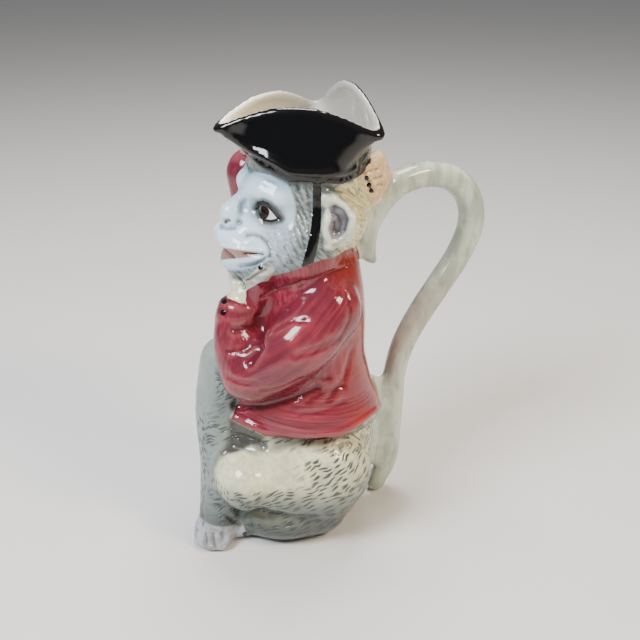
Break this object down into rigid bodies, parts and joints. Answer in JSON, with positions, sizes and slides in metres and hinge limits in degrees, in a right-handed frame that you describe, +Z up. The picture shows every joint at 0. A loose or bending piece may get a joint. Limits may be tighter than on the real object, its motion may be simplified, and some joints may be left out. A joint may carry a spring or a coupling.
{
  "type": "figural ceramic pitcher",
  "caption": "Hollow glazed ceramic pitcher shaped as a seated monkey in a jacket, its tricorn hat the open mouth and its looped tail the handle.",
  "frame": {"origin": "on the ground plane under the middle of the body, in the flat underside", "axes": "+Z up; the monkey faces -Y, its left side is +X, and the tail handle stands out towards +Y"},
  "size_m": [0.1048, 0.1901, 0.2605],
  "materials": {
    "painted_glaze": "glossy hand-painted glaze over slip-cast earthenware: grey-green fur, raspberry jacket, black hat, white inside"
  },
  "bodies": {
    "root": {"monkey_pitcher": "painted_glaze"}
  },
  "joints": []
}
